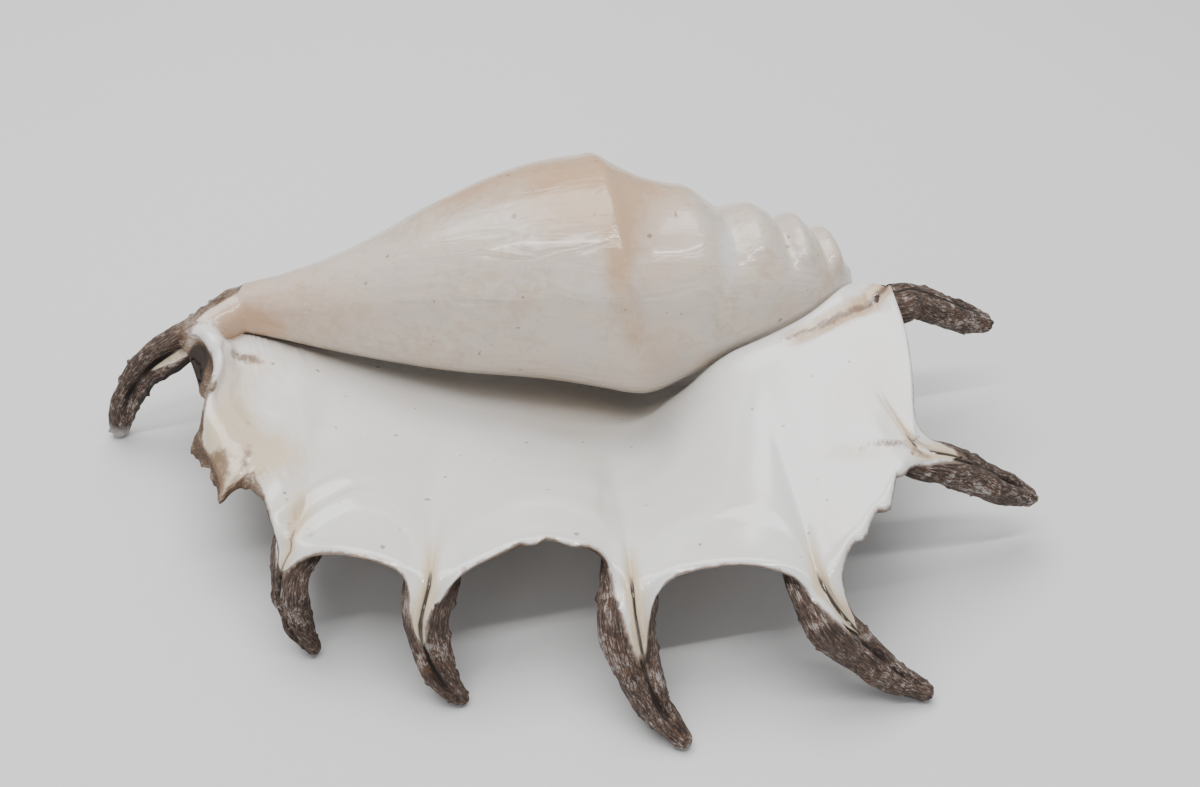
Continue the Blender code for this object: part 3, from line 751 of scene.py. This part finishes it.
stains_and_crease_shade = spots(wall, BROWN) + 1.05 * corner_line + 0.45 * tongue_tint + 0.35 * fold_line
warm = spots(wall, OCHRE) * (1 - on_lip * ramp(0, 30, run)) + 0.8 * lip_bevel
yellowed = spots(wall, YELLOW) * on_lip + 0.95 * valley_mark + 0.8 * tongue_tint + 0.7 * lip_bevel
back_border = to_back - 7 * lattice_noise(19, wall[..., 0] / 9 + 20) * on_body
glaze_edge = np.where(to_back > 0, np.minimum(along - ragged * (depth_in < 30), back_border), -inward)

# What the finish reads at each point: masks, and two places for its noises, along the fibres and along the
# growth lines.
wall_marks = {
    "glaze": np.clip(0.5 + glaze_edge / 6 - end_crust - hollow, 0, 1),
    "body": on_body * ramp(1, 8, from_valley),
    "bark": np.maximum(bark_by_spines, 0.65 * end_crust + 0.4 * in_crust),
    # Painted shade in the slits and along the crease under the spire, and the scroll's black hollow.
    "dark": np.maximum(slit_shade, 1.5 * hollow) + 0.6 * corner_groove_shade,
    # Real stains, with painted shade along the creases.
    "brown": np.clip(stains_and_crease_shade, 0, 1),
    "ochre": np.clip(warm, 0, 1.3),
    "pink": np.clip(spots(wall, PINK) * on_body, 0, 1),
    "white": np.clip(spots(wall, WHITE) * on_body, 0, 1),
    "yellow": np.clip(yellowed, 0, 1),
    "grain": wall * np.array([0.35, 0.9, 0.9]),
    "growth": np.where((on_lip > 0.5)[..., None], np.stack([inward * 0.9, run * 0.07, 0 * run], axis=-1),
                       np.stack([wall[..., 0] * 0.05, along * 0.6, 40 + 0 * run], axis=-1)),
}


def finger(course, seam_side, slit, pull, root_length, rough, seed, sleeve=0.0):
    """A spine from its course of (place, half width, half depth): rings of two ridges beside a slit.

    A ring is the middle + half width x sin(turn) sideways + half depth x cos(turn) towards the seam. The
    slit and the dip beside it lower the ridge as two bells in mm from the seam, and bark roughens the rest.
    The first length of a spine with a sleeve is glazed like the body and has no slit.
    """
    turns = np.radians(np.array((0,) + HALF_TURN + (180,) + tuple(-t for t in HALF_TURN[::-1]), float))
    total = course_length(course)[-1]
    rounding = total - ROUND_TIP * (1 - np.sin(np.linspace(0, 0.5 * np.pi, 9)))
    shaft = np.linspace(root_length, total - ROUND_TIP, int((total - root_length) / 0.75))
    at = np.concatenate([np.linspace(0, root_length, 18)[:-1], shaft[:-1], rounding])
    upright = 0.0 if sleeve else root_length - INSIDE_LIP
    middle, half_width, half_depth, seam, side = course_frame(course, seam_side, at, upright)
    tip = np.sqrt(np.maximum(1 - np.clip((at - total + ROUND_TIP) / ROUND_TIP, 0, 1) ** 2, 0.0004))
    free = (at - root_length) / (total - root_length)
    open_slit = np.clip((1 - free) * 3, 0, 1) * np.clip((at / total - 0.05) * 6, 0, 1)
    open_slit = open_slit * ramp(sleeve - 3, sleeve + 3, at)
    off_seam = turns[None] * half_width[:, None]
    slit_depth, dip_depth, dip_width = slit
    bells = slit_depth * bell(off_seam, SLIT_WIDTH)
    bells = bells + dip_depth * bell(off_seam, dip_width)
    sideways = np.sin(turns)[None] * (half_width * tip)[:, None]
    outward = np.cos(turns)[None] * (half_depth * tip)[:, None] - bells * (open_slit * tip)[:, None]
    ring = middle[:, None] + sideways[..., None] * side[:, None] + outward[..., None] * seam[:, None]
    zero = np.zeros(sideways.shape)
    grain = np.stack([sideways, np.cos(turns)[None] * half_depth[:, None], zero + 0.2 * at[:, None]], -1)
    reach, fall = pull
    tongue_half = np.minimum(fall * np.log(reach / np.maximum(at - root_length + 2, 0.5)), TONGUE_HALF)
    glaze = np.clip(0.5 + (tongue_half[:, None] - np.abs(off_seam)) / 6, 0, 1)
    ribbon, crusted = zero, 1.0
    if sleeve:
        crusted = ramp(46, 66, np.degrees(turns))[None] + (1 - ramp(-130, -110, np.degrees(turns)))[None]
        wander = 4 * (lattice_noise(seed + 3, grain[..., 0] * 0.5 + 50, grain[..., 2] * 2.0) - 0.5)
        glaze = (1 - ramp(-2, 2, at[:, None] + wander - sleeve)) * (1 - crusted)
        ribbon_half = RIBBON_HALF * (1 - ramp(sleeve, sleeve + RIBBON_LENGTH, at))
        ribbon_half = ribbon_half * ramp(sleeve - 8, sleeve - 4, at)
        ribbon = ramp(-1, 0.5, -0.6 - off_seam) * ramp(-0.5, 0.5, ribbon_half[:, None] + off_seam - 0.5)
        glaze = np.maximum(glaze, ribbon)

    def bark_noise(number, crosswise, lengthwise):
        across, deep = grain[..., 0] * crosswise + 50, grain[..., 1] * crosswise + 50
        return lattice_noise(seed + number, across, deep, grain[..., 2] * lengthwise)

    fibre, lump, flake = bark_noise(0, 1.5, 1.6), bark_noise(1, 0.35, 0.9), bark_noise(2, 0.7, 2.6)
    swell = 0.55 * (fibre - 0.5) + 1.2 * (lump - 0.5) + 3.6 * np.maximum(flake - 0.74, 0)
    swell = swell * rough * (1 - ramp(0.4, 0.7, glaze)) * tip[:, None]
    ring = ring + grid_normals(ring) * swell[..., None]
    # Painted shade: the spout's underside past its sleeve is painted near black, and each slit gets a dark
    # line.
    underside_shade = ramp(2, 6, -off_seam) * (1 - ribbon) * (sleeve > 0)
    underside_shade = underside_shade * ramp(sleeve - 6, sleeve + 2, at)[:, None]
    slit_shade_line = bell(off_seam, SLIT_WIDTH * 0.9) * open_slit[:, None]
    marks = {
        "glaze": glaze,
        "body": zero + (sleeve > 0) * (1 - ribbon),
        "bark": np.maximum(ramp(sleeve - 6, sleeve + 12, at)[:, None], 0.7 * crusted + (sleeve == 0)) + zero,
        "dark": np.maximum(slit_shade_line, 0.95 * underside_shade),
        "brown": 0.55 * ribbon,
        "ochre": np.clip(spots(ring, OCHRE), 0, 1) * (sleeve > 0),
        "pink": np.clip(spots(ring, PINK), 0, 1) * (sleeve > 0),
        "white": ramp(total - 7, total - 2, at)[:, None] * (sleeve > 0) + zero,
        "yellow": zero + 0.65 * ramp(0, 14, at[:, None] - root_length) * (sleeve == 0) + 1.0 * ribbon,
        "grain": grain + seed * 10,
        "growth": np.stack([off_seam * 0.9, 0.07 * at[:, None] + zero, zero], axis=-1),
    }
    return ring, marks


fingers = []
for number, (p, (seam_side, free_course)) in enumerate(SPINES.items()):
    root_length = course_length(rooted(p))[len(SPINE_ROOT) - 1] + INSIDE_LIP
    slit = OPEN_SLIT if p in PULLS else CLOSED_SLIT
    pull = PULLS.get(p, NO_TONGUE)
    fingers.append(finger(rooted(p), seam_side, slit, pull, root_length, 1.0, 20 + 5 * number))
fingers.append(finger(SPOUT, SPOUT_SEAM, SPOUT_SLIT, NO_TONGUE, SPOUT_ROOT, 1.3, 60, SLEEVE))


# Joining: the spines grow out of the lip, so one solid is made of all. The corners between them, and
# between the lip and the spire, are smoothed as the animal's glaze fills them. What touches the ground
# is worn flat.

SEAM_REACH = 3.2
SEAM_ROUNDS = 24
SEAM_SMOOTHING = 0.8
SEAM_SPREAD = 14
MARK_SPREAD = 8
FAR = 99.0
FILLET_FROM = 16
FILLET_REACH = 5.0
FILLET_X = (42, 58)

shell = grid_mesh("conch_shell", [wall])
spine_set = grid_mesh("spine_set", [ring for ring, marks in fingers])
sources = np.concatenate([mesh_places(shell.data), mesh_places(spine_set.data)])
union = shell.modifiers.new("union", "BOOLEAN")
union.operation = "UNION"
union.solver = "EXACT"
union.use_self = True
union.object = spine_set
bpy.context.view_layer.update()
grown = bpy.data.meshes.new_from_object(shell.evaluated_get(bpy.context.evaluated_depsgraph_get()))
shell.modifiers.clear()
shell.data = grown
bpy.data.objects.remove(spine_set)

places = mesh_places(grown)
count = len(places)
same = np.unique(np.concatenate([sources, places]), axis=0, return_inverse=True)[1].ravel()
source_of = np.full(same.max() + 1, -1)
source_of[same[:len(sources)]] = np.arange(len(sources))
source = source_of[same[len(sources):]]
known = source >= 0
places = places.astype(float) / MM
edges = np.empty(len(grown.edges) * 2, dtype=np.int64)
grown.edges.foreach_get("vertices", edges)
edges = edges.reshape(-1, 2)
one, two = np.concatenate([edges[:, 0], edges[:, 1]]), np.concatenate([edges[:, 1], edges[:, 0]])
neighbours = np.maximum(np.bincount(one, minlength=count), 1)


def around_mean(values):
    """Mean of each vertex's neighbours."""
    sums = [np.bincount(one, weights=column[two], minlength=count) for column in values.T]
    return np.stack(sums, -1) / neighbours[:, None]


# Distance of each vertex from the seams, found by walking out along the edges.
seam_distance = np.where(known, FAR, 0.0)
edge_length = np.linalg.norm(places[one] - places[two], axis=1)
for _ in range(SEAM_SPREAD):
    np.minimum.at(seam_distance, one, seam_distance[two] + edge_length)

# The marks go onto the joined mesh by each vertex's exact place. New vertices take their neighbours' mean.
all_marks = [wall_marks] + [marks for ring, marks in fingers]
for mark in wall_marks:
    width = 3 if mark in ("grain", "growth") else 1
    columns = [marks[mark].reshape(-1, width) for marks in all_marks]
    values = np.concatenate(columns)[source] * known[:, None]
    filled = known.astype(float)[:, None]
    for _ in range(MARK_SPREAD):
        share = around_mean(filled)
        mean = around_mean(values * filled) / np.maximum(share, 1e-6)
        values = np.where(filled > 0, values, mean)
        filled = np.maximum(filled, share > 0)
    kind, slot = ("FLOAT_VECTOR", "vector") if width == 3 else ("FLOAT", "value")
    grown.attributes.new(mark, kind, "POINT").data.foreach_set(slot, values.astype(np.float32).ravel())

valley_line = wall[stations > FILLET_FROM, VALLEY_SAMPLE]
fillet = np.zeros(count)
at_spire = np.flatnonzero(places[:, 0] > FILLET_X[0])
off_valley = np.full(len(at_spire), FAR)
for point in valley_line:
    off_valley = np.minimum(off_valley, np.linalg.norm(places[at_spire] - point, axis=1))
fillet[at_spire] = bell(off_valley, FILLET_REACH) * ramp(*FILLET_X, places[at_spire, 0])
smooth_weight = np.maximum(bell(seam_distance, SEAM_REACH), fillet)[:, None] * SEAM_SMOOTHING
for _ in range(SEAM_ROUNDS):
    places = places + (around_mean(places) - places) * smooth_weight
places += CENTRE
places[:, 2] = np.maximum(places[:, 2], 0)
grown.vertices.foreach_set("co", (places * MM).ravel())
grown.shade_smooth()
grown.update()
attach(shell, "root")
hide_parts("shell")


# Finish: porcelain glaze on the lip and in the mouth, thinner satin glaze with stains on the body, and
# bark with pale flecks outside, with painted shade in the slits, along the creases and under the spout.
# Marks made with the mesh say where each lies.

class Socket:
    """One output of a material's node. An expression on it adds the Math nodes that it needs."""

    def __init__(self, finish, port):
        self.finish = finish
        self.port = port

    def maths(self, operation, first, second):
        return self.finish.add("ShaderNodeMath", {"operation": operation}, {0: first, 1: second})

    def __add__(self, other):
        return self.maths("ADD", self, other)

    def __sub__(self, other):
        return self.maths("SUBTRACT", self, other)

    def __rsub__(self, other):
        return self.maths("SUBTRACT", other, self)

    def __mul__(self, other):
        return self.maths("MULTIPLY", self, other)

    __radd__ = __add__
    __rmul__ = __mul__


class Finish:
    """The node tree of one material."""

    def __init__(self, name):
        self.material = bpy.data.materials.new(name)
        self.material.use_nodes = True
        self.tree = self.material.node_tree
        self.surface = self.tree.nodes["Principled BSDF"]

    def add(self, kind, settings=None, sockets=None, output=0):
        """Add one node: its settings first, then the values or links of its sockets."""
        node = self.tree.nodes.new(kind)
        for name, value in (settings or {}).items():
            if name == "stops":
                while len(node.color_ramp.elements) < len(value):
                    node.color_ramp.elements.new(1)
                for element, (position, colour) in zip(node.color_ramp.elements, value):
                    element.position = position
                    element.color = colour + (1,)
            else:
                setattr(node, name, value)
        for key, value in (sockets or {}).items():
            if isinstance(value, Socket):
                self.tree.links.new(value.port, node.inputs[key])
            else:
                node.inputs[key].default_value = value
        return Socket(self, node.outputs[output])

    def mark(self, name, output="Fac"):
        return self.add("ShaderNodeAttribute", {"attribute_name": name}, output=output)

    def noise(self, place, size, detail=2.0, roughness=0.5, distortion=0.0):
        """Noise from 0 to 1 whose lumps are about the given size, in the unit of the place."""
        sockets = {"Vector": place, "Scale": 1 / size, "Detail": detail, "Roughness": roughness}
        return self.add("ShaderNodeTexNoise", None, sockets | {"Distortion": distortion})

    def rise(self, value, low, high):
        """Eased step from 0 at low to 1 at high."""
        settings = {"interpolation_type": "SMOOTHSTEP"}
        return self.add("ShaderNodeMapRange", settings, {"Value": value, "From Min": low, "From Max": high})

    def stretch(self, place, factors):
        return self.add("ShaderNodeVectorMath", {"operation": "MULTIPLY"}, {0: place, 1: factors})

    def blend(self, mask, first, second):
        """Colour that goes from the first to the second as the mask goes from 0 to 1."""
        sockets = {0: mask}
        for key, colour in ((6, first), (7, second)):
            sockets[key] = colour if isinstance(colour, Socket) else colour + (1,)
        return self.add("ShaderNodeMix", {"data_type": "RGBA"}, sockets, output=2)

    def ramp(self, value, stops):
        return self.add("ShaderNodeValToRGB", {"stops": stops}, {0: value})

    def set(self, **sockets):
        for name, value in sockets.items():
            name = name.replace("_", " ")
            if isinstance(value, Socket):
                self.tree.links.new(value.port, self.surface.inputs[name])
            else:
                self.surface.inputs[name].default_value = value


PORCELAIN = (0.78, 0.765, 0.74)
WARM_PORCELAIN = (0.77, 0.715, 0.635)
YELLOW_GLAZE = (0.66, 0.50, 0.29)
BODY_CREAM = (0.65, 0.55, 0.45)
BODY_GREY = (0.61, 0.545, 0.485)
BODY_WHITE = (0.70, 0.70, 0.70)
BODY_TAN = (0.52, 0.40, 0.29)
OCHRE_GLAZE = (0.50, 0.285, 0.135)
PEACH_GLAZE = (0.58, 0.36, 0.245)
STAIN_AND_SHADE_BROWN = (0.16, 0.078, 0.034)
EDGE_BROWN = (0.15, 0.075, 0.038)
NEAR_BLACK = (0.022, 0.014, 0.010)
FLECK = (0.54, 0.51, 0.49)
BARK_RUSSET = (0.18, 0.085, 0.042)
BARK_STOPS = (
    (0.30, (0.012, 0.009, 0.008)), (0.44, (0.045, 0.026, 0.018)), (0.54, (0.105, 0.064, 0.044)),
    (0.64, (0.21, 0.16, 0.13)), (0.76, (0.46, 0.42, 0.39)),
)
BACK_STOPS = (
    (0.28, (0.06, 0.032, 0.018)), (0.45, (0.17, 0.095, 0.052)), (0.56, (0.36, 0.26, 0.175)),
    (0.70, (0.60, 0.54, 0.46)),
)
GLAZE_ROUGHNESS = 0.17
BARK_ROUGHNESS = 0.6
GLAZE_COAT = 0.4

skin = Finish("conch_shell")
place = skin.add("ShaderNodeTexCoord", output="Object")
grain = skin.mark("grain", "Vector")
growth = skin.mark("growth", "Vector")
broad = skin.noise(place, 0.030, 3.0)
patchy = skin.noise(place, 0.011, 4.0, 0.6, 0.6)
fine = skin.noise(place, 0.0022, 3.0, 0.6)
ripple = skin.noise(skin.stretch(place, (0.2, 1.0, 1.0)), 0.0042, 2.0, 0.4, 0.9)
mottle = skin.noise(place, 0.0048, 4.0, 0.68, 0.8)
lines = skin.noise(growth, 1.6, 3.0, 0.6, 0.3)
fibre = skin.noise(grain, 0.6, 5.0, 0.75, 0.25)
fleck = skin.noise(skin.stretch(grain, (1.3, 1.3, 1.8)), 0.62, 5.0, 0.8, 0.3)

edge = skin.mark("glaze") + (fine - 0.5) * 0.35 + (patchy - 0.5) * 0.2
glazed = skin.rise(edge, 0.42, 0.56)
body = skin.mark("body")
bark = skin.mark("bark")
white = skin.mark("white")

porcelain = skin.blend(skin.rise(broad, 0.42, 0.72) * 0.7, PORCELAIN, WARM_PORCELAIN)
yellow = skin.rise(skin.mark("yellow") + (lines - 0.5) * 0.5 + (patchy - 0.5) * 0.4, 0.2, 1.0)
porcelain = skin.blend(yellow * 0.75, porcelain, YELLOW_GLAZE)
cream = skin.blend(skin.rise(patchy, 0.35, 0.7), BODY_CREAM, BODY_GREY)
cream = skin.blend(skin.rise(mottle + (broad - 0.5) * 0.8, 0.42, 0.72) * 0.6, cream, BODY_TAN)
glaze_colour = skin.blend(body, porcelain, cream)
ochre = skin.mark("ochre") + (patchy - 0.5) * 0.8 + (lines - 0.5) * 0.4 + (broad - 0.5) * 0.6
glaze_colour = skin.blend(skin.rise(ochre, 0.15, 1.0) * 0.72, glaze_colour, OCHRE_GLAZE)
pink = skin.rise(skin.mark("pink") + (patchy - 0.5) * 0.6, 0.15, 1.0)
glaze_colour = skin.blend(pink * 0.42, glaze_colour, PEACH_GLAZE)
glaze_colour = skin.blend(skin.rise(white + (patchy - 0.5) * 0.4, 0.15, 0.9) * 0.6, glaze_colour, BODY_WHITE)
rim_line = skin.rise(edge, 0.42, 0.50) - skin.rise(edge, 0.54, 0.80)
glaze_colour = skin.blend(rim_line * 0.85, glaze_colour, EDGE_BROWN)
# Stains, specks and pores in dark brown, and painted shade along the creases in the same brown.
dirt_and_crease_shade = skin.mark("brown") + (patchy - 0.5) * 0.9 + (fine - 0.5) * 0.8 + (lines - 0.5) * 0.4
dirt_and_crease_shade = skin.rise(dirt_and_crease_shade, 0.45, 1.0)
glaze_colour = skin.blend(dirt_and_crease_shade * 0.85, glaze_colour, STAIN_AND_SHADE_BROWN)
specks = skin.rise(skin.noise(place, 0.0045, 2.0, 0.4), 0.735, 0.76)
glaze_colour = skin.blend(specks * 0.6, glaze_colour, STAIN_AND_SHADE_BROWN)
pores = skin.rise(skin.noise(place, 0.0019, 2.0, 0.5), 0.70, 0.76) * skin.rise(patchy, 0.45, 0.6)
glaze_colour = skin.blend(pores * 0.45 * body, glaze_colour, STAIN_AND_SHADE_BROWN)

bark_colour = skin.ramp(fibre + (fleck - 0.5) * 0.4 + (mottle - 0.5) * 0.35, BARK_STOPS)
bark_colour = skin.blend(skin.rise(patchy + (fibre - 0.5) * 0.4, 0.48, 0.66) * 0.55, bark_colour, BARK_RUSSET)
pale_fleck = fleck + (mottle - 0.5) * 0.4 + (patchy - 0.5) * 0.7 + (fibre - 0.5) * 0.4
bark_colour = skin.blend(skin.rise(pale_fleck, 0.56, 0.70) * 0.8, bark_colour, FLECK)
back_colour = skin.ramp(patchy + (fleck - 0.5) * 0.5 + (broad - 0.5) * 0.4, BACK_STOPS)
rough_colour = skin.blend(bark, back_colour, bark_colour)
rough_colour = skin.blend(white * 0.8, rough_colour, FLECK)
colour = skin.blend(glazed, rough_colour, glaze_colour)
# Near black for painted shade in the slits, the crease under the spire and under the spout, and for the
# scroll's black hollow.
dark = skin.rise(skin.mark("dark") + (fleck - 0.5) * 0.5 * (1 - glazed), 0.25, 0.85)
colour = skin.blend(dark * 0.95, colour, NEAR_BLACK)

smooth_relief = 0.20 * broad + 0.14 * patchy + 0.035 * lines + 0.5 * ripple * body
height = glazed * smooth_relief + (1 - glazed) * (0.6 * fibre + 0.4 * fleck)
bump = skin.add("ShaderNodeBump", None, {"Strength": 1.0, "Distance": 0.001, "Height": height})
dull = skin.rise(1 - glazed + dirt_and_crease_shade * 0.5, 0.0, 1.0)
roughness = dull * BARK_ROUGHNESS + GLAZE_ROUGHNESS + body * 0.04 + (fine - 0.5) * 0.06
coat = glazed * GLAZE_COAT - glazed * body * 0.1
skin.set(Base_Color=colour, Roughness=roughness, Normal=bump, Coat_Weight=coat)
skin.set(Coat_Roughness=0.1, IOR=1.52)
shell.data.materials.clear()
shell.data.materials.append(skin.material)


# Stage: a plain pale floor under the shell, a wide soft light above, and a narrower one behind that
# draws the streaks on the body. The camera looks down at the mouth side from in front of the lip.

FLOOR_HALF = 3.0
FLOOR_COLOUR = (0.72, 0.72, 0.71)
CAMERA_RISE = 42.0
CAMERA_AWAY = 0.54
CAMERA_TARGET = np.array([0.0, 0.0, 30.0])
LENS = 50
SENSOR = 36
SKY_COLOUR = (0.92, 0.95, 1.0, 1)
SKY_LIGHT = 0.45

floor_mesh = bpy.data.meshes.new("floor")
floor_corners = [(x * FLOOR_HALF, y * FLOOR_HALF, 0) for x, y in ((-1, -1), (1, -1), (1, 1), (-1, 1))]
floor_mesh.from_pydata(floor_corners, [], [(0, 1, 2, 3)])
floor = bpy.data.objects.new("floor", floor_mesh)
bpy.context.scene.collection.objects.link(floor)
matte = Finish("floor_matte")
matte.set(Base_Color=FLOOR_COLOUR + (1,), Roughness=0.9)
floor_mesh.materials.append(matte.material)

# Each light: name, place, aim, width, depth and power.
LIGHTS = (
    ("softbox", (-0.15, 0.30, 0.95), (0, 0, 0.03), 0.9, 0.7, 11.0),
    ("streak", (0.05, -0.22, 0.90), (0, 0, 0.05), 0.9, 0.02, 4.5),
    ("fill", (-0.2, -1.1, 0.5), (0, 0, 0.03), 0.8, 0.5, 2.0),
)
for name, place_at, aim, width, depth, power in LIGHTS:
    lamp = bpy.data.lights.new(name, "AREA")
    lamp.shape = "RECTANGLE"
    lamp.size, lamp.size_y, lamp.energy = width, depth, power
    holder = bpy.data.objects.new(name, lamp)
    holder.location = place_at
    holder.rotation_euler = (Vector(aim) - Vector(place_at)).to_track_quat("-Z", "Y").to_euler()
    bpy.context.scene.collection.objects.link(holder)

world = bpy.data.worlds.new("studio")
world.use_nodes = True
world.node_tree.nodes["Background"].inputs["Color"].default_value = SKY_COLOUR
world.node_tree.nodes["Background"].inputs["Strength"].default_value = SKY_LIGHT
bpy.context.scene.world = world

lens = bpy.data.cameras.new("camera")
lens.lens = LENS
lens.sensor_width = SENSOR
camera = bpy.data.objects.new("camera", lens)
rise = np.radians(CAMERA_RISE)
target = Vector((CAMERA_TARGET + CENTRE) * MM)
camera.location = target + Vector((0, -np.cos(rise), np.sin(rise))) * CAMERA_AWAY
camera.rotation_euler = (target - camera.location).to_track_quat("-Z", "Y").to_euler()
bpy.context.scene.collection.objects.link(camera)
bpy.context.scene.camera = camera
